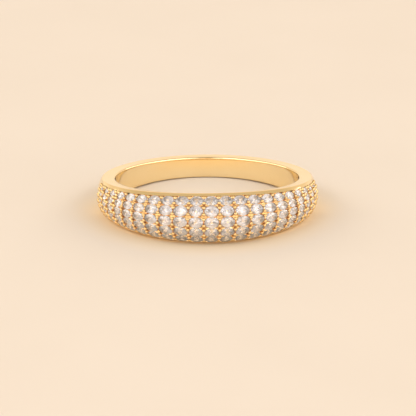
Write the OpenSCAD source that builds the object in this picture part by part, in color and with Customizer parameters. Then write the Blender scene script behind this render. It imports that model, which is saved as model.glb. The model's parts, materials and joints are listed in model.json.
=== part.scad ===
// Dome ring: a plain band that swells into a domed front, paved with rows of small round stones.
// It lies on its side, as it would by itself, with the dome towards -Y and the origin under its middle.
// All sizes are in millimetres.

/* [Finger hole] */
// Diameter of the finger hole
hole_d = 17.3; // [15:0.1:21]

/* [Band] */
// Thickness of the metal at the middle of the dome
front_t = 2.04; // [1.9:0.02:2.5]
// Thickness of the shank, opposite the dome
back_t = 1.42; // [1.2:0.02:1.8]
// Width at the middle of the dome
front_w = 4.66; // [4.3:0.02:5.2]
// Width of the shank, opposite the dome
back_w = 1.96; // [1.6:0.02:2.6]
// How much the radius of the rounded outer face exceeds half the front width
crown_spare = 0.1; // [0.02:0.01:0.4]
// How far each side face is hollowed between the front and the back
side_hollow = 0.24; // [0.05:0.01:0.3]

/* [Stones] */
// Rows of stones across the band
stone_rows = 5; // [3:1:5]
// Columns of stones along the dome, an odd number
stone_columns = 21; // [15:2:21]
// Angle from the middle of the dome to the last column
field_angle = 79; // [60:0.5:85]
// How much wider the columns stand in the middle of the dome than at its ends, as a share
column_ease_share = 0.042; // [0:0.002:0.12]
// Width of the plain border between the side face and the first row
border_w = 0.26; // [0.24:0.01:0.5]
// Room between neighbouring stones in a column
stone_gap = 0.14; // [0.13:0.01:0.25]
// Depth of a stone's girdle under the rounded face
girdle_depth = 0.08; // [0.02:0.01:0.1]
// Clearance all round a stone in its seat
seat_clear = 0.03; // [0.02:0.005:0.05]

/* [Cut of a stone, as shares of its diameter] */
// Width of the table
table_share = 0.56; // [0.5:0.01:0.65]
// Height of the crown above the girdle
crown_share = 0.16; // [0.12:0.01:0.2]
// Height of the girdle
girdle_share = 0.04; // [0.02:0.01:0.06]
// Depth of the pavilion under the girdle
pavilion_share = 0.43; // [0.36:0.01:0.45]

/* [Beads] */
// Radius of a bead as a share of the spacing of the rows
bead_share = 0.15; // [0.1:0.01:0.17]
// How far a bead's middle lies under the rounded face, as a share of its radius
bead_sunk_share = 0.3; // [0.1:0.05:0.6]
// Half the distance between the two beads of a pair, as a share of the spacing of the rows
bead_apart_share = 0.18; // [0.16:0.01:0.2]

/* [Hidden] */
round_fn = 96;
side_fn = 1920;
seat_fn = 32;
bead_fn = 20;
stone_sides = 8;

gold = "#e8b868";
clear_stone = "#f4f2f4";

// The rounded face is a tube swept round a circle that is set off towards the dome.
hole_r = hole_d / 2;
crown_r = front_w / 2 + crown_spare;
front_c = hole_r + front_t - crown_r;
back_c = hole_r + back_t - crown_r;
sweep_r = (front_c + back_c) / 2;
sweep_shift = (front_c - back_c) / 2;

// Outer edges of the side faces, as distances from the ring's axis at the front and the back.
front_edge = front_c + sqrt(pow(crown_r, 2) - pow(front_w / 2, 2));
back_edge = back_c + sqrt(pow(crown_r, 2) - pow(back_w / 2, 2));

// Each side face is part of a wide cylinder that lies across the ring, through those two edges.
edge_run = front_edge + back_edge;
edge_rise = (front_w - back_w) / 2;
side_tilt = atan2(edge_rise, edge_run);
side_r = (pow(norm([edge_run, edge_rise]) / 2, 2) + pow(side_hollow, 2)) / (2 * side_hollow);
side_y = (back_edge - front_edge) / 2 + (side_r - side_hollow) * sin(side_tilt);
side_z = (front_w + back_w) / 4 + (side_r - side_hollow) * cos(side_tilt);

// The length of every cut, well past the ring.
reach = 4 * hole_r;

last_row = (stone_rows - 1) / 2;
last_column = (stone_columns - 1) / 2;

// Half the width of the band at distance y from the ring's axis, the back being +Y.
function half_width(y) = side_z - sqrt(pow(side_r, 2) - pow(y - side_y, 2));

// Angle of column k along the dome, k being 0 at its middle; halves lie between two columns.
function column_angle(k) =
    let (u = k / last_column)
    field_angle * (u + column_ease_share * (u - pow(u, 3)));

// Angle that one row of stones takes across the rounded face, at angle a along the dome.
function row_angle(a) =
    let (face_angle = 2 * asin(half_width(-hole_r * cos(a)) / crown_r))
    let (border_angle = border_w / crown_r * 180 / PI)
    (face_angle - 2 * border_angle) / stone_rows;

function row_spacing(a) = crown_r * row_angle(a) * PI / 180;

function stone_width(a) = row_spacing(a) - stone_gap;

// Places its children on the rounded face, at angle a along the dome and b across it.
// Their +Z points straight out, and depth lowers them under the face.
module on_face(a, b, depth) {
    translate([0, -sweep_shift, 0])
        rotate([0, 0, a])
            translate([0, -sweep_r, 0])
                rotate([90 - b, 0, 0])
                    translate([0, 0, crown_r - depth])
                        children();
}

// Places its children at every stone, with $stone_w as the stone's diameter there.
module at_stones() {
    for (k = [-last_column : last_column])
        for (j = [-last_row : last_row])
            let (a = column_angle(k), $stone_w = stone_width(a))
                on_face(a, j * row_angle(a), girdle_depth)
                    children();
}

// Octagonal stone with a table, its girdle's upper edge at z = 0.
module stone(w) {
    corner = function (level, i) level * stone_sides + i % stone_sides;
    levels = [
        [table_share * w / 2, crown_share * w],
        [w / 2, 0],
        [w / 2, -girdle_share * w]
    ];
    points = [
        for (level = levels)
            for (i = [0 : stone_sides - 1])
                let (turn = i * 360 / stone_sides)
                    [level[0] * cos(turn), level[0] * sin(turn), level[1]]
    ];
    culet = [0, 0, -(girdle_share + pavilion_share) * w];
    table_face = [for (i = [stone_sides - 1 : -1 : 0]) i];
    side_faces = [
        for (level = [0, 1])
            for (i = [0 : stone_sides - 1])
                [corner(level, i), corner(level, i + 1), corner(level + 1, i + 1), corner(level + 1, i)]
    ];
    pavilion_faces = [
        for (i = [0 : stone_sides - 1])
            [corner(2, i), corner(2, i + 1), len(points)]
    ];
    polyhedron(concat(points, [culet]), concat([table_face], side_faces, pavilion_faces));
}

// The hole that a stone sits in: straight down to its girdle, then narrowing under it.
module seat(w) {
    seat_r = w / 2 + seat_clear;
    floor_r = seat_r / 4;
    ledge_z = -girdle_share * w;
    cone_h = pavilion_share * w + seat_clear;
    translate([0, 0, ledge_z])
        cylinder(r = seat_r, h = w, $fn = seat_fn);
    translate([0, 0, ledge_z - cone_h])
        cylinder(r1 = floor_r, r2 = seat_r, h = cone_h, $fn = seat_fn);
}

// Round beads of metal that hold the stones: a pair between every four, and one at the border
// between every two.
module beads() {
    for (k = [-last_column - 0.5 : last_column + 0.5])
        let (a = column_angle(k), bead_r = bead_share * row_spacing(a))
            for (j = [-last_row - 0.5 : last_row + 0.5])
                for (side = [-1, 1])
                    let (row = j + side * bead_apart_share)
                        if (abs(row) < last_row + 0.5)
                            on_face(a, row * row_angle(a), bead_sunk_share * bead_r)
                                sphere(bead_r, $fn = bead_fn);
}

module rounded_ring() {
    translate([0, -sweep_shift, 0])
        rotate_extrude($fn = round_fn)
            translate([sweep_r, 0])
                circle(crown_r, $fn = round_fn);
}

module side_cuts() {
    for (side = [-1, 1])
        translate([-reach / 2, side_y, side * side_z])
            rotate([0, 90, 0])
                cylinder(r = side_r, h = reach, $fn = side_fn);
}

module finger_hole() {
    cylinder(d = hole_d, h = reach, center = true, $fn = round_fn);
}

// Lays the ring on the lower side face's edges, with the middle of its outline over the origin.
module lay_down() {
    translate([0, sweep_shift * cos(side_tilt), front_w / 2 * cos(side_tilt) - front_edge * sin(side_tilt)])
        rotate([-side_tilt, 0, 0])
            children();
}

module band() {
    color(gold)
        lay_down()
            union() {
                difference() {
                    rounded_ring();
                    side_cuts();
                    finger_hole();
                    at_stones() seat($stone_w);
                }
                beads();
            }
}

module pave_stones() {
    color(clear_stone)
        lay_down()
            at_stones() stone($stone_w);
}

band();
pave_stones();
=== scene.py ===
import json
import math

import bpy
import numpy as np
from mathutils import Matrix, Vector


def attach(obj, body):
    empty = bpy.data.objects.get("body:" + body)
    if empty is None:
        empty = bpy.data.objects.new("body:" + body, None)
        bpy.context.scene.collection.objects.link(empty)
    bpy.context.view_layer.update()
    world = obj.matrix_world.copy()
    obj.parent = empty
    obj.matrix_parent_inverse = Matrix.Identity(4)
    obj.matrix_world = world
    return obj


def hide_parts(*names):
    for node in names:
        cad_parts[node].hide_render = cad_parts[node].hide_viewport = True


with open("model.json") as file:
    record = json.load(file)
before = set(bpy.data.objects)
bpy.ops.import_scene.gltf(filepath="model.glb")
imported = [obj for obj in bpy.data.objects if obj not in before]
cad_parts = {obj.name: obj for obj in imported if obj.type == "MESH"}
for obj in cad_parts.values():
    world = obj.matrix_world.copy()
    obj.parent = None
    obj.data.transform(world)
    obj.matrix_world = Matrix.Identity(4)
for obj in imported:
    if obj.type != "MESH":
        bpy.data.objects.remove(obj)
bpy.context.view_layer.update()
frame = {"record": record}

# A dome ring lying on its side: one gold casting, small round stones in rows, and the round beads of
# metal that hold them. Shapes are worked out in millimetres in the ring's own frame, with the finger
# hole along Z and the dome towards -Y, and layDown carries them to the model's frame.

mm = 0.001
tiny = 1e-6  # less than any step of a grid

ringSizes = {
    "frontThick": 2.04,  # metal at the middle of the dome
    "backThick": 1.42,  # metal at the shank
    "frontWidth": 4.66,
    "backWidth": 1.96,
    "crownSpare": 0.1,  # how much the rounded face's radius exceeds half the front width
    "sideHollow": 0.24,  # how far each side face is hollowed between front and back
    "borderWidth": 0.26,  # plain metal beside the field of stones
    "rows": 5,
    "columns": 21,
    "fieldAngle": 79.0,  # degrees from the middle of the dome to the last column
    "columnEase": 0.042,  # how much wider the columns stand in the middle, as a share
}

bore = frame["record"]["mounts"][0]
boreCentre = np.array(bore["pos_m"]) / mm
boreAxis = np.array(bore["axis"]) / np.linalg.norm(bore["axis"])
holeRadius = bore["dims"]["r_mm"]

# The rounded face is a tube swept round a circle that is set off towards the dome.
crownRadius = ringSizes["frontWidth"] / 2 + ringSizes["crownSpare"]
frontCentre = holeRadius + ringSizes["frontThick"] - crownRadius
backCentre = holeRadius + ringSizes["backThick"] - crownRadius
sweepRadius = (frontCentre + backCentre) / 2
sweepShift = (frontCentre - backCentre) / 2

# Each side face is part of a wide cylinder through its edges at the front and the back.
frontEdge = frontCentre + math.sqrt(crownRadius**2 - (ringSizes["frontWidth"] / 2) ** 2)
backEdge = backCentre + math.sqrt(crownRadius**2 - (ringSizes["backWidth"] / 2) ** 2)
edgeRun = frontEdge + backEdge
edgeRise = (ringSizes["frontWidth"] - ringSizes["backWidth"]) / 2
sideTilt = math.atan2(edgeRise, edgeRun)
sideHollow = ringSizes["sideHollow"]
sideRadius = ((math.hypot(edgeRun, edgeRise) / 2) ** 2 + sideHollow**2) / (2 * sideHollow)
sideY = (backEdge - frontEdge) / 2 + (sideRadius - sideHollow) * math.sin(sideTilt)
sideZ = (ringSizes["frontWidth"] + ringSizes["backWidth"]) / 4
sideZ += (sideRadius - sideHollow) * math.cos(sideTilt)

lastRow = (ringSizes["rows"] - 1) / 2
lastColumn = (ringSizes["columns"] - 1) / 2


def halfWidth(y):
    # half the band's width at distance y from the hole's axis: the wide cylinder's lower side
    return sideZ - np.sqrt(sideRadius**2 - (y - sideY) ** 2)


def columnAngle(k):
    # angle of column k: nearly even steps, a little wider in the middle of the dome
    u = k / lastColumn
    return math.radians(ringSizes["fieldAngle"]) * (u + ringSizes["columnEase"] * (u - u**3))


def rowAngle(a):
    # the rounded face's angle between its borders, shared by the rows
    faceAngle = 2 * np.arcsin(halfWidth(-holeRadius * np.cos(a)) / crownRadius)
    return (faceAngle - 2 * ringSizes["borderWidth"] / crownRadius) / ringSizes["rows"]


def onFace(a, b, depth):
    # point on the rounded face, at a along the dome and b across it, with the directions along,
    # across and outwards there: a step along the swept circle, then a step along the tube's radius
    a, b, depth = np.broadcast_arrays(a, b, depth)
    zero = np.zeros_like(a)
    radial = np.stack([np.sin(a), -np.cos(a), zero], -1)
    upward = np.stack([zero, zero, zero + 1], -1)
    along = np.stack([np.cos(a), np.sin(a), zero], -1)
    outward = np.cos(b)[..., None] * radial + np.sin(b)[..., None] * upward
    across = np.cos(b)[..., None] * upward - np.sin(b)[..., None] * radial
    point = sweepRadius * radial + (crownRadius - depth)[..., None] * outward
    return point - np.array([0, sweepShift, 0]), along, across, outward


def layDown(points):
    # turns the ring's own frame to the bore mount's axis and moves it there, in metres
    side = np.array([1.0, 0, 0])
    turn = np.stack([side, np.cross(boreAxis, side), boreAxis])
    return (points @ turn + boreCentre) * mm


def makePiece(name, points, faces, smooth=True):
    # one mesh from an array of points and an array of faces that all have as many corners
    mesh = bpy.data.meshes.new(name)
    mesh.vertices.add(len(points))
    mesh.vertices.foreach_set("co", points.astype(np.float32).ravel())
    mesh.loops.add(faces.size)
    mesh.loops.foreach_set("vertex_index", faces.astype(np.int32).ravel())
    mesh.polygons.add(len(faces))
    mesh.polygons.foreach_set("loop_start", np.arange(len(faces), dtype=np.int32) * faces.shape[1])
    mesh.polygons.foreach_set("use_smooth", np.full(len(faces), smooth))
    mesh.update(calc_edges=True)
    mesh.validate()
    piece = bpy.data.objects.new(name, mesh)
    bpy.context.scene.collection.objects.link(piece)
    return piece


def markRecess(piece, depths):
    # keeps with each point how deep it lies in the setting, from 0 on open metal to 1, which sets how much
    # painted shade, with the duller tone of unpolished metal, the gold gets there
    recess = piece.data.attributes.new("recess", "FLOAT", "POINT")
    recess.data.foreach_set("value", np.clip(depths, 0, 1).astype(np.float32).ravel())


def copiesOf(points, faces):
    # joins the copies of one small shape: points has a row for each copy
    firstPoint = np.arange(len(points))[:, None, None] * points.shape[1]
    return points.reshape(-1, 3), (faces[None] + firstPoint).reshape(-1, faces.shape[1])


# The stones.
stoneSettings = {
    "girdleDepth": 0.08,  # of the girdle's upper edge under the rounded face
    "gap": 0.01,  # between neighbouring stones in a column
    "pitchShare": 0.92,  # width along the dome over the step between two columns
    "stretch": (1.22, 1.55),  # the least and the most that a stone is drawn out along the dome
    "sides": 8,
    "table": 0.56,  # this and the next five are shares of the stone's diameter
    "crown": 0.16,
    "girdle": 0.035,
    "pavilion": 0.42,
    "culetRing": 0.115,
    "crownRing": 0.4,
    "lean": 0.04,  # the most that a stone leans in its seat, in radians
    "seed": 11,
}


def stoneDiameter(a):
    # the tube's chord over one row at the girdle's depth, less the gap
    girdleRadius = crownRadius - stoneSettings["girdleDepth"]
    return 2 * girdleRadius * np.tan(rowAngle(a) / 2) - stoneSettings["gap"]


def stoneStretch(a):
    # width along the dome over width across it: a share of the step between two columns there
    u = np.abs(a) / math.radians(ringSizes["fieldAngle"])
    turn = (columnAngle(1) - columnAngle(0)) * (1 - 3 * ringSizes["columnEase"] * u**2)
    width = stoneSettings["pitchShare"] * turn * (sweepRadius + crownRadius)
    return np.clip(width / stoneDiameter(a), *stoneSettings["stretch"])


def brilliant():
    # a brilliant of diameter 1: rings of points at the table, crown, girdle and pavilion, and a culet;
    # the crown's and pavilion's middle rings lie where their kite facets are flat
    cut = stoneSettings
    sides, girdleR, tableR = cut["sides"], 0.5, cut["table"] / 2
    pitch = math.pi / sides
    kite = math.cos(pitch)
    crownZ = cut["crown"] * (girdleR - cut["crownRing"] * kite) / (girdleR - tableR)
    culetZ = -cut["girdle"] - cut["pavilion"]
    lowZ = culetZ + cut["pavilion"] * cut["culetRing"] * kite / girdleR
    even = np.arange(sides) * 2 * pitch
    odd = even + pitch
    full = np.arange(2 * sides) * pitch

    def ring(radius, turns, z):
        return np.stack([radius * np.cos(turns), radius * np.sin(turns), np.full(len(turns), z)], -1)

    points = np.concatenate([
        ring(tableR, even, cut["crown"]),
        ring(cut["crownRing"], odd, crownZ),
        ring(girdleR, full, 0.0),
        ring(girdleR, full, -cut["girdle"]),
        ring(cut["culetRing"], odd, lowZ),
        [[0, 0, culetZ]],
    ])
    # the first point of each ring after the table's; below, a ring's corners, the corners next to
    # them, and the points midway where a ring has twice as many
    firsts = np.cumsum([sides, sides, 2 * sides, 2 * sides, sides])
    i = np.arange(sides)
    n = (i + 1) % sides
    table, tableNext = i, n
    crown, crownNext = firsts[0] + i, firsts[0] + n
    upper, upperNext = firsts[1] + 2 * i, firsts[1] + 2 * n
    lower, lowerNext = firsts[2] + 2 * i, firsts[2] + 2 * n
    low, lowNext = firsts[3] + i, firsts[3] + n
    culet = np.full(sides, firsts[4])
    upperMid, lowerMid = upper + 1, lower + 1
    fan = np.arange(1, sides - 1)
    faces = np.concatenate([
        np.stack([0 * fan, fan, fan + 1], -1),  # table
        np.stack([table, crown, tableNext], -1),  # stars
        np.stack([tableNext, crown, upperNext], -1),  # kites, in halves
        np.stack([tableNext, upperNext, crownNext], -1),
        np.stack([crown, upper, upperMid], -1),  # upper girdle
        np.stack([crown, upperMid, upperNext], -1),
        np.stack([upper, lower, lowerMid], -1),  # girdle
        np.stack([upper, lowerMid, upperMid], -1),
        np.stack([upperMid, lowerMid, lowerNext], -1),
        np.stack([upperMid, lowerNext, upperNext], -1),
        np.stack([lower, low, lowerMid], -1),  # lower girdle
        np.stack([lowerMid, low, lowerNext], -1),
        np.stack([low, culet, lowerNext], -1),  # pavilion mains, in halves
        np.stack([lowerNext, culet, lowNext], -1),
    ])
    return points, faces


def makeStones():
    # a brilliant at every column and row, turned about its own axis, leaned a little and drawn out
    # along the dome: each point is carried from its seat by a step along, across and outwards
    cut = stoneSettings
    columns, rows = np.arange(-lastColumn, lastColumn + 1), np.arange(-lastRow, lastRow + 1)
    k, j = (grid.ravel() for grid in np.meshgrid(columns, rows, indexing="ij"))
    a = columnAngle(k)
    width = stoneDiameter(a)[:, None]
    seat, along, across, outward = onFace(a, j * rowAngle(a), cut["girdleDepth"])
    draws = np.random.default_rng(cut["seed"])
    turn = draws.uniform(0, 2 * math.pi, len(k))[:, None]
    lean = draws.uniform(-cut["lean"], cut["lean"], (len(k), 2))
    shape, faces = brilliant()
    x = shape[:, 0] * np.cos(turn) - shape[:, 1] * np.sin(turn)
    y = shape[:, 0] * np.sin(turn) + shape[:, 1] * np.cos(turn)
    z = shape[:, 2] + lean[:, :1] * x + lean[:, 1:] * y
    offset = (
        (x * width * stoneStretch(a)[:, None])[..., None] * along[:, None]
        + (y * width)[..., None] * across[:, None]
        + (z * width)[..., None] * outward[:, None]
    )
    points, faces = copiesOf(seat[:, None] + offset, faces)
    return makePiece("paveStones", layDown(points), faces, smooth=False)


# The casting.
bandSettings = {
    "innerRound": 0.18,  # length that each rounded edge takes from the faces beside it
    "outerRound": 0.09,
    "wallPoints": 5,  # these four: points along each part of the section, both ends counted
    "roundPoints": 7,
    "sidePoints": 8,
    "borderPoints": 4,
    "edgePasses": 6,  # times that the outer edge's angle is worked out again from its own place
    "stepsPerStone": 20,  # of the grid, along and across
    "rim": 0.7,  # where in a stone's square of the grid its edge lies, from its middle to its side
    "seatRings": ((0, 0.3, 0.5, 0.6, 0.7), (0, 0.45, 0.8, 0.97, 1.0)),  # grid to share of the radius
    "rimDepth": 0.07,  # depth under the rounded face of the metal that meets the stones
    "fallSlope": 0.9,  # how steeply the metal falls away from a stone, and how far
    "fallDepth": 0.09,
    "seatRoom": 0.04,  # room under a stone
    "seatSlope": 0.9,  # of the cone under it, and how deep the cone may go
    "seatDeepest": 0.5,
    "recessDepth": 0.16,  # depth at which the painted shade on the metal between the stones is as dark as it gets
    "seatRecess": 0.0,  # and how dark the painted shade is under them, as a share of that
    "shankSteps": 76,  # round the plain shank, from one end of the field to the other
    "creaseAngle": 32.0,  # degrees over which an edge is left sharp
}


def fieldGrid():
    # angles, depth and recess over the field of stones. Each stone has a square of the grid, whose
    # square rings are drawn into rings round the stone up to its edge, and pass back into the square
    # outside it. Under the stone the depth follows a cone, and outside it the metal falls away from
    # the stone's edge.
    settings, cut = bandSettings, stoneSettings
    steps, rim = settings["stepsPerStone"], settings["rim"]
    k = np.arange(ringSizes["columns"] * steps + 1)[:, None] / steps - lastColumn - 0.5
    v = lastRow + 0.5 - np.arange(ringSizes["rows"] * steps + 1)[None] / steps
    k, v = np.broadcast_arrays(k, v)
    column = np.clip(np.round(k), -lastColumn, lastColumn)
    row = np.clip(np.round(v), -lastRow, lastRow)
    ring = 2 * np.maximum(np.abs(k - column), np.abs(v - row))
    sideX = 2 * (k - column) / np.maximum(ring, tiny)
    sideY = 2 * (v - row) / np.maximum(ring, tiny)
    spread = np.maximum(np.hypot(sideX, sideY), tiny)
    share = np.interp(ring, *settings["seatRings"])

    stoneA, stoneB = columnAngle(column), row * rowAngle(columnAngle(column))
    radius = stoneDiameter(stoneA) / 2
    reachA = radius * stoneStretch(stoneA) / (sweepRadius + crownRadius * np.cos(stoneB))
    reachB = radius / crownRadius
    sideA = columnAngle(column + sideX / 2)
    sideB = (row + sideY / 2) * rowAngle(sideA)
    rimA, rimB = stoneA + reachA * sideX / spread, stoneB + reachB * sideY / spread
    outside = np.clip((ring - rim) / (1 - rim), 0, 1)
    a = np.where(outside > 0, rimA + (sideA - rimA) * outside, stoneA + (rimA - stoneA) * share)
    b = np.where(outside > 0, rimB + (sideB - rimB) * outside, stoneB + (rimB - stoneB) * share)

    away = np.hypot((a - rimA) * (sweepRadius + crownRadius), (b - rimB) * crownRadius)
    between = settings["rimDepth"] + np.minimum(settings["fallSlope"] * away, settings["fallDepth"])
    inField = (np.abs(v) < lastRow + 0.5 - tiny) & (np.abs(k) < lastColumn + 0.5 - tiny)
    inSeat = ring < rim - tiny
    cone = cut["girdleDepth"] + 2 * cut["girdle"] * radius + settings["seatRoom"]
    cone = np.minimum(cone + settings["seatSlope"] * radius * (1 - share), settings["seatDeepest"])
    depth = np.where(inSeat, cone, np.where(inField, between, 0))
    # how much painted shade, with the duller tone of unpolished metal, each point gets: more the deeper it
    # lies between the stones
    recess = np.where(inSeat, settings["seatRecess"], depth / settings["recessDepth"])
    return a, b, depth, recess


def bend(start, corner, end, t):
    # an edge rounded by a curve that leaves both faces smoothly and is pulled towards their corner
    return (1 - t) ** 2 * start + 2 * t * (1 - t) * corner + t**2 * end


def upperSection(a):
    # half the section across the band at each angle, as distances from the swept circle's middle and
    # heights: the hole's wall, a rounded edge, the side face, a rounded edge and the plain border
    settings = bandSettings

    def shares(part):
        return np.linspace(0, 1, settings[part])[None]

    def sideAt(rho):
        return halfWidth(-sweepShift - rho * np.cos(a))

    inner = -sweepShift * np.cos(a) + np.sqrt(holeRadius**2 - (sweepShift * np.sin(a)) ** 2)
    edge = np.arcsin(halfWidth(-holeRadius * np.cos(a)) / crownRadius)
    for again in range(settings["edgePasses"]):
        edge = np.arcsin(sideAt(sweepRadius + crownRadius * np.cos(edge)) / crownRadius)
    outer = sweepRadius + crownRadius * np.cos(edge)
    innerRound, outerRound = settings["innerRound"], settings["outerRound"]
    foot, head = inner + innerRound, outer - outerRound
    start = edge - outerRound / crownRadius
    t = shares("roundPoints")
    up = shares("wallPoints")[:, :-1] * (sideAt(inner) - innerRound)
    run = foot + (head - foot) * shares("sidePoints")[:, 1:-1]
    border = start + (ringSizes["rows"] / 2 * rowAngle(a) - start) * shares("borderPoints")[:, 1:-1]
    rho = np.concatenate([
        inner + 0 * up,
        bend(inner, inner, foot, t),
        run,
        bend(head, outer, sweepRadius + crownRadius * np.cos(start), t),
        sweepRadius + crownRadius * np.cos(border),
    ], axis=1)
    z = np.concatenate([
        up,
        bend(sideAt(inner) - innerRound, sideAt(inner), sideAt(foot), t),
        sideAt(run),
        bend(sideAt(head), sideAt(outer), crownRadius * np.sin(start), t),
        crownRadius * np.sin(border),
    ], axis=1)
    return rho, z


def makeBand():
    # the upper half of each section, the rounded face with its field of seats, and the mirrored half
    settings = bandSettings
    fieldA, fieldB, depth, recess = fieldGrid()
    dense = fieldA[:, 0]
    shank = np.linspace(dense[-1], dense[0] + 2 * math.pi, settings["shankSteps"] + 1)[1:-1]
    plainA = np.repeat(shank[:, None], fieldA.shape[1], axis=1)
    plainB = np.linspace(1, -1, fieldA.shape[1])[None] * ringSizes["rows"] / 2 * rowAngle(shank[:, None])
    depth = np.concatenate([depth, 0 * plainA])
    crown = onFace(np.concatenate([fieldA, plainA]), np.concatenate([fieldB, plainB]), depth)[0]
    a = np.concatenate([dense, shank])[:, None]
    rho, z = upperSection(a)
    upper = np.stack([rho * np.sin(a), -sweepShift - rho * np.cos(a), z], -1)
    lower = upper[:, :0:-1] * np.array([1, 1, -1])
    points = np.concatenate([upper, crown, lower], axis=1)
    # painted shade only over the field of stones, none on the plain shank and the section's other parts
    recess = np.concatenate([recess, 0 * plainA])
    recess = np.concatenate([0 * upper[..., 0], recess, 0 * lower[..., 0]], axis=1)
    around, across = points.shape[:2]
    i, j = np.meshgrid(np.arange(around), np.arange(across), indexing="ij")
    nextI, nextJ = (i + 1) % around, (j + 1) % across
    faces = np.stack([i * across + j, i * across + nextJ, nextI * across + nextJ, nextI * across + j], -1)
    piece = makePiece("casting", layDown(points.reshape(-1, 3)), faces.reshape(-1, 4))
    piece.data.set_sharp_from_angle(angle=math.radians(settings["creaseAngle"]))
    markRecess(piece, recess)
    return piece


# The beads.
beadSettings = {
    "radius": 0.115,  # a bead's radius grows from this with the spacing of the rows
    "radiusShare": 0.05,
    "stretch": 1.15,  # length along the dome over width across it
    "borderStretch": 1.4,  # the same beside the plain border
    "recessHeights": (0.0, 0.8),  # painted shade on each bead: it begins at the higher one and is as dark as it gets from the lower one down
    "depth": 0.06,  # of a bead's middle under the rounded face
    "apart": 0.22,  # half the distance between the beads of a pair, as a share of the row spacing
    "doubleFrom": 7.0,  # from this column on there are two lines of single beads between the stones
    "doubleApart": 0.17,  # half the distance between those lines, as a share of the column spacing
    "singleRadius": 0.2,
    "lastSingle": 2.3,  # row of the single beads beside the plain border
    "segments": 8,
    "rings": 5,
}


def unitBall():
    # ball of radius 1: rings of points between two poles
    segments, rings = beadSettings["segments"], beadSettings["rings"]
    tilt = np.linspace(0, math.pi, rings + 1)[1:-1, None]
    turn = np.arange(segments)[None] * 2 * math.pi / segments
    level = np.cos(tilt) + 0 * turn
    ring = np.stack([np.sin(tilt) * np.cos(turn), np.sin(tilt) * np.sin(turn), level], -1)
    points = np.concatenate([ring.reshape(-1, 3), [[0, 0, 1], [0, 0, -1]]])
    i, j = np.meshgrid(np.arange(rings - 2), np.arange(segments), indexing="ij")
    n = (j + 1) % segments
    here, right = i * segments + j, i * segments + n
    below, across = here + segments, right + segments
    top, bottom = len(points) - 2, len(points) - 1
    ends = np.arange(segments)
    endNext = (ends + 1) % segments
    lowest = (rings - 2) * segments
    faces = np.concatenate([
        np.stack([here, below, across], -1).reshape(-1, 3),
        np.stack([here, across, right], -1).reshape(-1, 3),
        np.stack([np.full(segments, top), ends, endNext], -1),
        np.stack([np.full(segments, bottom), lowest + endNext, lowest + ends], -1),
    ])
    return points, faces


def makeBeads():
    # a pair of beads where four stones meet and one at the border between two; near the ends of the
    # dome two single beads instead, side by side. Each is a ball drawn out along the dome.
    settings = beadSettings

    def bothSides(places, apart):
        return np.concatenate([places - apart, places + apart])

    lines = np.arange(-lastColumn - 0.5, lastColumn + 1)
    junctions = np.arange(-lastRow - 0.5, lastRow + 1)
    doubled = np.abs(lines) > settings["doubleFrom"]
    pairs = bothSides(junctions, settings["apart"])
    pairs = pairs[np.abs(pairs) < ringSizes["rows"] / 2]
    singles = np.clip(junctions, -settings["lastSingle"], settings["lastSingle"])
    pairK, pairRow = np.meshgrid(lines[~doubled], pairs, indexing="ij")
    sides = bothSides(lines[doubled], settings["doubleApart"])
    singleK, singleRow = np.meshgrid(sides, singles, indexing="ij")
    k = np.concatenate([pairK.ravel(), singleK.ravel()])
    row = np.concatenate([pairRow.ravel(), singleRow.ravel()])
    a = columnAngle(k)
    radius = settings["radius"] + settings["radiusShare"] * crownRadius * rowAngle(a)
    radius[pairK.size:] = settings["singleRadius"]
    middle, along, across, outward = onFace(a, row * rowAngle(a), settings["depth"])
    stretch = np.where(np.abs(row) > lastRow, settings["borderStretch"], settings["stretch"])
    shape, faces = unitBall()
    offset = (
        (shape[:, 0] * (radius * stretch)[:, None])[..., None] * along[:, None]
        + (shape[:, 1] * radius[:, None])[..., None] * across[:, None]
        + (shape[:, 2] * radius[:, None])[..., None] * outward[:, None]
    )
    points, faces = copiesOf(middle[:, None] + offset, faces)
    piece = makePiece("beads", layDown(points), faces)
    lowest, highest = settings["recessHeights"]
    # painted shade on each bead, darker down towards the casting under it
    markRecess(piece, np.tile((highest - shape[:, 2]) / (highest - lowest), len(k)))
    return piece


# Finishes.
textureLimits = {  # values of each texture that stand for none and all of its effect
    "patches": (0.3, 0.7),
    "polish": (0.35, 0.65),
    "cells": (0.3, 0.7),
}


def newGroup(name, inputs, outputs):
    # an empty shader node group with named sockets
    group = bpy.data.node_groups.new(name, "ShaderNodeTree")
    for label, kind, value in inputs:
        socket = group.interface.new_socket(name=label, in_out="INPUT", socket_type=kind)
        if value is not None:
            socket.default_value = value
    for label, kind in outputs:
        group.interface.new_socket(name=label, in_out="OUTPUT", socket_type=kind)
    return group, group.nodes.new("NodeGroupInput"), group.nodes.new("NodeGroupOutput")


def addSpread(tree, value, limits, kind="LINEAR"):
    # 0 at the first limit and 1 at the second, straight or smooth between them; a limit is a number
    # or a socket
    spread = tree.nodes.new("ShaderNodeMapRange")
    spread.interpolation_type = kind
    tree.links.new(value, spread.inputs["Value"])
    for label, limit in zip(("From Min", "From Max"), limits):
        if isinstance(limit, float):
            spread.inputs[label].default_value = limit
        else:
            tree.links.new(limit, spread.inputs[label])
    return spread


def softMottleGroup():
    # broad soft patches, as a mask from 0 to 1
    group, given, result = newGroup(
        "softMottle",
        [("Vector", "NodeSocketVector", None), ("Scale", "NodeSocketFloat", 300.0)],
        [("Mask", "NodeSocketFloat")],
    )
    noise = group.nodes.new("ShaderNodeTexNoise")
    spread = addSpread(group, noise.outputs["Fac"], textureLimits["patches"])
    link = group.links.new
    link(given.outputs["Vector"], noise.inputs["Vector"])
    link(given.outputs["Scale"], noise.inputs["Scale"])
    link(spread.outputs["Result"], result.inputs["Mask"])
    return group


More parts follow.
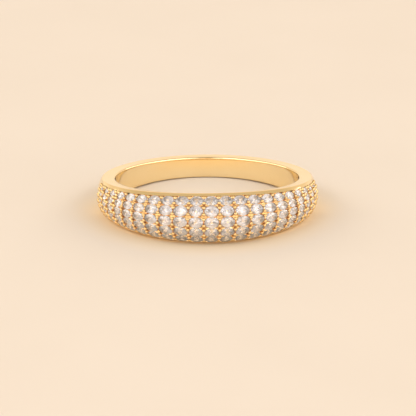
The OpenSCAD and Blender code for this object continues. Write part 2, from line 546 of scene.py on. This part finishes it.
def finePolishGroup():
    # what a polishing wheel leaves: a roughness that varies a little, and a faint unevenness
    group, given, result = newGroup(
        "finePolish",
        [("Vector", "NodeSocketVector", None), ("Scale", "NodeSocketFloat", 900.0),
         ("Smoothest", "NodeSocketFloat", 0.05), ("Roughest", "NodeSocketFloat", 0.12)],
        [("Roughness", "NodeSocketFloat"), ("Height", "NodeSocketFloat")],
    )
    noise = group.nodes.new("ShaderNodeTexNoise")
    noise.inputs["Detail"].default_value = 4.0
    spread = addSpread(group, noise.outputs["Fac"], textureLimits["polish"])
    link = group.links.new
    link(given.outputs["Vector"], noise.inputs["Vector"])
    link(given.outputs["Scale"], noise.inputs["Scale"])
    link(given.outputs["Smoothest"], spread.inputs["To Min"])
    link(given.outputs["Roughest"], spread.inputs["To Max"])
    link(spread.outputs["Result"], result.inputs["Roughness"])
    link(noise.outputs["Fac"], result.inputs["Height"])
    return group


def fineFacetsGroup():
    # small flat-sided pits, as a height, and for each of them a mask from 0 to 1 that picks its painted
    # reflection tone, from cool to warm: they break up what a large facet shows into the sparkle of many
    # small ones
    group, given, result = newGroup(
        "fineFacets",
        [("Vector", "NodeSocketVector", None), ("Scale", "NodeSocketFloat", 5500.0)],
        [("Height", "NodeSocketFloat"), ("Mask", "NodeSocketFloat")],
    )
    cells = group.nodes.new("ShaderNodeTexVoronoi")
    cells.distance = "CHEBYCHEV"
    spread = addSpread(group, cells.outputs["Color"], textureLimits["cells"])
    link = group.links.new
    link(given.outputs["Vector"], cells.inputs["Vector"])
    link(given.outputs["Scale"], cells.inputs["Scale"])
    link(cells.outputs["Distance"], result.inputs["Height"])
    link(spread.outputs["Result"], result.inputs["Mask"])
    return group


def warmGlowGroup():
    # the light that polished metal throws on what it stands on: strongest close to the dome, gone
    # at its reach and behind the ring's middle, as a mask from 0 to 1
    group, given, result = newGroup(
        "warmGlow",
        [("Vector", "NodeSocketVector", None), ("Full", "NodeSocketFloat", 0.008),
         ("Reach", "NodeSocketFloat", 0.011), ("Front", "NodeSocketFloat", -0.003),
         ("Behind", "NodeSocketFloat", 0.001)],
        [("Mask", "NodeSocketFloat")],
    )
    away = group.nodes.new("ShaderNodeVectorMath")
    away.operation = "LENGTH"
    parts = group.nodes.new("ShaderNodeSeparateXYZ")
    both = group.nodes.new("ShaderNodeMath")
    both.operation = "MULTIPLY"
    link = group.links.new
    link(given.outputs["Vector"], away.inputs[0])
    link(given.outputs["Vector"], parts.inputs[0])
    limits = ((away.outputs["Value"], "Reach", "Full"), (parts.outputs["Y"], "Behind", "Front"))
    for (value, none, whole), share in zip(limits, both.inputs):
        spread = addSpread(group, value, (given.outputs[none], given.outputs[whole]), "SMOOTHSTEP")
        link(spread.outputs["Result"], share)
    link(both.outputs["Value"], result.inputs["Mask"])
    return group


def shadeAndDullMetalGroup():
    # painted shade in the hollows between the stones and on the beads' lower parts, with the duller tone
    # of unpolished metal there: where it shows, as a mask from 0 to 1
    group, given, result = newGroup(
        "shadeAndDullMetal",
        [("Recess", "NodeSocketFloat", 0.0), ("Start", "NodeSocketFloat", 0.0),
         ("Full", "NodeSocketFloat", 1.0)],
        [("Mask", "NodeSocketFloat")],
    )
    limits = (given.outputs["Start"], given.outputs["Full"])
    spread = addSpread(group, given.outputs["Recess"], limits, "SMOOTHSTEP")
    group.links.new(spread.outputs["Result"], result.inputs["Mask"])
    return group


softMottle = softMottleGroup()
finePolish = finePolishGroup()
shadeAndDullMetal = shadeAndDullMetalGroup()
fineFacets = fineFacetsGroup()
warmGlow = warmGlowGroup()


def newMaterial(name):
    # a material with its nodes, its Principled shader and its Object coordinates
    material = bpy.data.materials.new(name)
    material.use_nodes = True
    tree = material.node_tree
    place = tree.nodes.new("ShaderNodeTexCoord")
    return material, tree, tree.nodes["Principled BSDF"], place.outputs["Object"]


def addGroup(tree, group, source, values):
    # source feeds the group's first input
    node = tree.nodes.new("ShaderNodeGroup")
    node.node_tree = group
    tree.links.new(source, node.inputs[0])
    for label, value in values.items():
        node.inputs[label].default_value = value
    return node


def mixedColour(tree, mask, first, second):
    # a colour that runs from the first to the second with the mask; each is a colour or a socket
    mix = tree.nodes.new("ShaderNodeMix")
    mix.data_type = "RGBA"
    for label, colour in (("A", first), ("B", second)):
        if isinstance(colour, tuple):
            mix.inputs[label].default_value = (*colour, 1)
        else:
            tree.links.new(colour, mix.inputs[label])
    tree.links.new(mask, mix.inputs["Factor"])
    return mix.outputs["Result"]


def addBump(tree, height, settings):
    # the height is a share of the settings' bumpHeight, which is in millimetres
    bump = tree.nodes.new("ShaderNodeBump")
    bump.inputs["Strength"].default_value = settings["bump"]
    bump.inputs["Distance"].default_value = settings["bumpHeight"] * mm
    tree.links.new(height, bump.inputs["Height"])
    return bump


def goldMaterial(name, settings):
    # polished metal in soft patches of two tones, with painted shade and the duller tone of unpolished
    # metal where the piece's recess attribute says so
    material, tree, shader, place = newMaterial(name)
    shader.inputs["Metallic"].default_value = 1.0
    mottle = addGroup(tree, softMottle, place, {"Scale": settings["mottleScale"]})
    polish = addGroup(tree, finePolish, place, {
        "Scale": settings["polishScale"],
        "Smoothest": settings["smoothest"],
        "Roughest": settings["roughest"],
    })
    depth = tree.nodes.new("ShaderNodeAttribute")
    depth.attribute_name = "recess"
    recess = addGroup(tree, shadeAndDullMetal, depth.outputs["Fac"], {
        "Start": settings["recessStart"],
        "Full": settings["recessFull"],
    })
    polished = mixedColour(tree, mottle.outputs["Mask"], settings["pale"], settings["deep"])
    # painted shade, with the duller tone of unpolished metal, mixed into the polished colour
    colour = mixedColour(tree, recess.outputs["Mask"], polished, settings["recess"])
    bump = addBump(tree, polish.outputs["Height"], settings)
    tree.links.new(colour, shader.inputs["Base Color"])
    tree.links.new(polish.outputs["Roughness"], shader.inputs["Roughness"])
    tree.links.new(bump.outputs["Normal"], shader.inputs["Normal"])
    return material


def stoneMaterial(name, settings):
    # clear stone with painted reflection tones, cool and warm, and the small bump of many fine facets
    material, tree, shader, place = newMaterial(name)
    shader.inputs["Transmission Weight"].default_value = settings["transmission"]
    shader.inputs["IOR"].default_value = settings["ior"]
    shader.inputs["Roughness"].default_value = settings["roughness"]
    facets = addGroup(tree, fineFacets, place, {"Scale": settings["facetScale"]})
    # painted reflection: each fine facet tinted between the cool tent's colour and the warm floor's
    colour = mixedColour(tree, facets.outputs["Mask"], settings["cool"], settings["warm"])
    bump = addBump(tree, facets.outputs["Height"], settings)
    tree.links.new(colour, shader.inputs["Base Color"])
    tree.links.new(bump.outputs["Normal"], shader.inputs["Normal"])
    return material


def floorMaterial(name, settings):
    # pale paper in soft patches of two tones, with the warm light that the dome throws on it
    material, tree, shader, place = newMaterial(name)
    shader.inputs["Roughness"].default_value = settings["roughness"]
    mottle = addGroup(tree, softMottle, place, {"Scale": settings["mottleScale"]})
    glow = addGroup(tree, warmGlow, place, {
        "Full": settings["glowFull"] * mm,
        "Reach": settings["glowReach"] * mm,
        "Front": settings["glowFront"] * mm,
        "Behind": settings["glowBehind"] * mm,
    })
    paper = mixedColour(tree, mottle.outputs["Mask"], settings["pale"], settings["deep"])
    colour = mixedColour(tree, glow.outputs["Mask"], paper, settings["glow"])
    tree.links.new(colour, shader.inputs["Base Color"])
    return material


castingGold = goldMaterial("castingGold", {
    "pale": (0.98, 0.80, 0.48),
    "deep": (0.96, 0.77, 0.44),
    # colour of the painted shade in the recesses, with the duller tone of unpolished metal
    "recess": (0.68, 0.44, 0.21),
    "recessStart": 0.2,
    "recessFull": 1.0,
    "mottleScale": 260.0,
    "polishScale": 1500.0,
    "smoothest": 0.06,
    "roughest": 0.12,
    "bump": 0.15,
    "bumpHeight": 0.004,
})
# the beads' gold is a darker, deeper copy of the casting's: painted shade among the stones
shadedBeadGold = goldMaterial("shadedBeadGold", {
    "pale": (0.88, 0.66, 0.35),
    "deep": (0.81, 0.58, 0.28),
    # colour of the painted shade on the beads' lower parts
    "recess": (0.56, 0.34, 0.13),
    "recessStart": 0.0,
    "recessFull": 1.0,
    "mottleScale": 1400.0,
    "polishScale": 4000.0,
    "smoothest": 0.04,
    "roughest": 0.1,
    "bump": 0.2,
    "bumpHeight": 0.004,
})
clearStone = stoneMaterial("clearStone", {
    "cool": (0.95, 0.96, 1.0),
    "warm": (1.0, 0.93, 0.89),
    "ior": 2.15,
    "transmission": 0.89,
    "roughness": 0.0,
    "facetScale": 5500.0,
    "bump": 1.0,
    "bumpHeight": 0.025,
})

# The object.
print("casting")
casting = makeBand()
casting.data.materials.append(castingGold)
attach(casting, "root")
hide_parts("band")

print("beads")
beads = makeBeads()
beads.data.materials.append(shadedBeadGold)
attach(beads, "root")

print("stones")
stones = makeStones()
stones.data.materials.append(clearStone)
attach(stones, "root")
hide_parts("pave_stones")

# The floor, the light and the camera.
studio = {
    "floorSize": 4.0,  # metres
    "paper": (0.92, 0.74, 0.54),  # the paper that rises behind the ring
    "paperHeights": (0.72, 0.38),  # sines of the angles upwards where it is gone and where it is whole
    "paperFrom": (-0.35, 0.15),  # how far back of straight sideways it begins and is whole
    "lowPaper": (1.08, 0.90, 0.71),  # the light low down behind the ring, and in front of it
    "lowFront": (3.1, 2.5, 1.9),
    "lowHeights": (0.34, 0.08),  # as the paper's
    "tentLit": (1.64, 1.66, 1.8),  # the tent's lit panels, and the unlit ones between them
    "tentUnlit": (0.62, 0.56, 0.54),
    "panelTurns": (22.0, 17.0),  # how closely the panels follow each other, sideways and upwards
    "panelEdge": (-0.02, 0.1),  # of the waves' product, where a lit panel ends and an unlit one is whole
    "tentBack": (0.70, 0.57, 0.42),  # the tent behind the ring
    "tentTurn": (-0.55, 0.25),  # how far back of straight sideways that begins and is whole
    "slit": (0.42, 0.30, 0.20),  # the tent's slit, which the camera looks through
    "slitWidths": (0.22, 0.08),  # sines of the angles sideways where it ends and where it is whole
    "slitHeights": (0.2, 0.4),  # and upwards, where it begins and where it is whole
    "boxEnds": ((0.675, 0.54, 0.24), (0.33, -0.665, 0.59)),  # of the right softbox, in metres
    "boxWidth": 0.26,
    "boxPower": 1.8,
    "boxColour": (1.0, 0.99, 0.985),
}
cameraSettings = {
    "elevation": 19.835,  # degrees above the floor
    "azimuth": -2.365,  # degrees from straight in front of the dome
    "distance": 300.0,  # millimetres from the hole's middle
    "pixelsPerMm": 10.588,  # at that distance
    "boreAt": (207.08, 191.36),  # the hole's middle in the picture, in pixels
    "picture": 416,  # pixels each way
    "sensor": 36.0,  # millimetres
    "farthest": 10.0,  # metres
}

print("studio")
half = studio["floorSize"] / 2
floorPoints = np.array([[-half, -half, 0], [half, -half, 0], [half, half, 0], [-half, half, 0]])
floor = makePiece("floor", floorPoints, np.array([[0, 1, 2, 3]]), smooth=False)
floor.data.materials.append(floorMaterial("paleFloor", {
    "pale": (0.77, 0.69, 0.585),
    "deep": (0.755, 0.675, 0.57),
    "glow": (0.94, 0.75, 0.48),
    "glowFull": 7.9,  # this and the next three are in millimetres from the ring's middle
    "glowReach": 13.4,
    "glowFront": -2.0,
    "glowBehind": 7.5,
    "mottleScale": 60.0,
    "roughness": 0.75,
}))


def makeWorld():
    # a white tent of panels with a dark slit in front, and peach paper that rises behind the ring
    world = bpy.data.worlds.new("tent")
    world.use_nodes = True
    tree = world.node_tree
    place = tree.nodes.new("ShaderNodeTexCoord").outputs["Generated"]
    parts = tree.nodes.new("ShaderNodeSeparateXYZ")
    tree.links.new(place, parts.inputs[0])

    def ramp(part, name):
        # over one part of the direction that is looked in, between two limits in the settings
        return addSpread(tree, part, studio[name], "SMOOTHSTEP").outputs["Result"]

    def calc(operation, *values):
        step = tree.nodes.new("ShaderNodeMath")
        step.operation = operation
        for socket, value in zip(step.inputs, values):
            if isinstance(value, float):
                socket.default_value = value
            else:
                tree.links.new(value, socket)
        return step.outputs["Value"]

    # lit and unlit panels are the squares of a chessboard: the product of two waves, one that runs
    # sideways and one upwards
    sideways, backwards, upwards = (parts.outputs[label] for label in "XYZ")
    waves = [
        calc("SINE", calc("MULTIPLY", part, turns))
        for part, turns in zip((sideways, upwards), studio["panelTurns"])
    ]
    behind = ramp(backwards, "tentTurn")
    panels = ramp(calc("MULTIPLY", *waves), "panelEdge")
    front = mixedColour(tree, panels, studio["tentLit"], studio["tentUnlit"])
    sky = mixedColour(tree, behind, front, studio["tentBack"])
    onPaper = calc("MULTIPLY", ramp(upwards, "paperHeights"), ramp(backwards, "paperFrom"))
    sky = mixedColour(tree, onPaper, sky, studio["paper"])
    low = mixedColour(tree, behind, studio["lowFront"], studio["lowPaper"])
    sky = mixedColour(tree, ramp(upwards, "lowHeights"), sky, low)
    inSlit = calc("MULTIPLY", ramp(calc("ABSOLUTE", sideways), "slitWidths"), ramp(upwards, "slitHeights"))
    inSlit = calc("MULTIPLY", inSlit, calc("SUBTRACT", 1.0, behind))
    sky = mixedColour(tree, inSlit, sky, studio["slit"])
    tree.links.new(sky, tree.nodes["Background"].inputs["Color"])
    bpy.context.scene.world = world


def makeSoftboxes():
    # one on each side: it reaches from its start to its end, and is turned about that line to face
    # the ring
    for side in (-1, 1):
        start, end = (Vector((side * x, y, z)) for x, y, z in studio["boxEnds"])
        middle = (start + end) / 2
        lengthwise = (end - start).normalized()
        away = (middle - middle.dot(lengthwise) * lengthwise).normalized()
        box = bpy.data.objects.new("softbox", bpy.data.lights.new("softbox", "AREA"))
        box.data.shape = "RECTANGLE"
        box.data.size = studio["boxWidth"]
        box.data.size_y = (end - start).length
        box.data.energy = studio["boxPower"]
        box.data.color = studio["boxColour"]
        box.location = middle
        axes = Matrix((lengthwise.cross(away), lengthwise, away))
        box.rotation_euler = axes.transposed().to_euler()
        bpy.context.scene.collection.objects.link(box)


def makeCamera():
    # stands where the photograph was taken from and looks just under the hole's middle
    settings = cameraSettings
    azimuth, elevation = math.radians(settings["azimuth"]), math.radians(settings["elevation"])
    back = np.array([
        math.sin(azimuth) * math.cos(elevation),
        -math.cos(azimuth) * math.cos(elevation),
        math.sin(elevation),
    ])
    right = np.array([math.cos(azimuth), math.sin(azimuth), 0])
    up = np.cross(back, right)
    middle = settings["picture"] / 2
    offRight = (settings["boreAt"][0] - middle) / settings["pixelsPerMm"]
    offUp = (middle - settings["boreAt"][1]) / settings["pixelsPerMm"]
    aim = boreCentre - offRight * right - offUp * up
    place = boreCentre + settings["distance"] * back
    camera = bpy.data.objects.new("camera", bpy.data.cameras.new("camera"))
    pictureWidth = settings["picture"] / settings["pixelsPerMm"]
    camera.data.sensor_width = settings["sensor"]
    camera.data.lens = settings["distance"] * settings["sensor"] / pictureWidth
    camera.data.clip_end = settings["farthest"]
    camera.location = place * mm
    camera.rotation_euler = Vector(aim - place).to_track_quat("-Z", "Y").to_euler()
    bpy.context.scene.collection.objects.link(camera)
    bpy.context.scene.camera = camera


makeWorld()
makeSoftboxes()
makeCamera()
bpy.context.scene.view_settings.view_transform = "Standard"
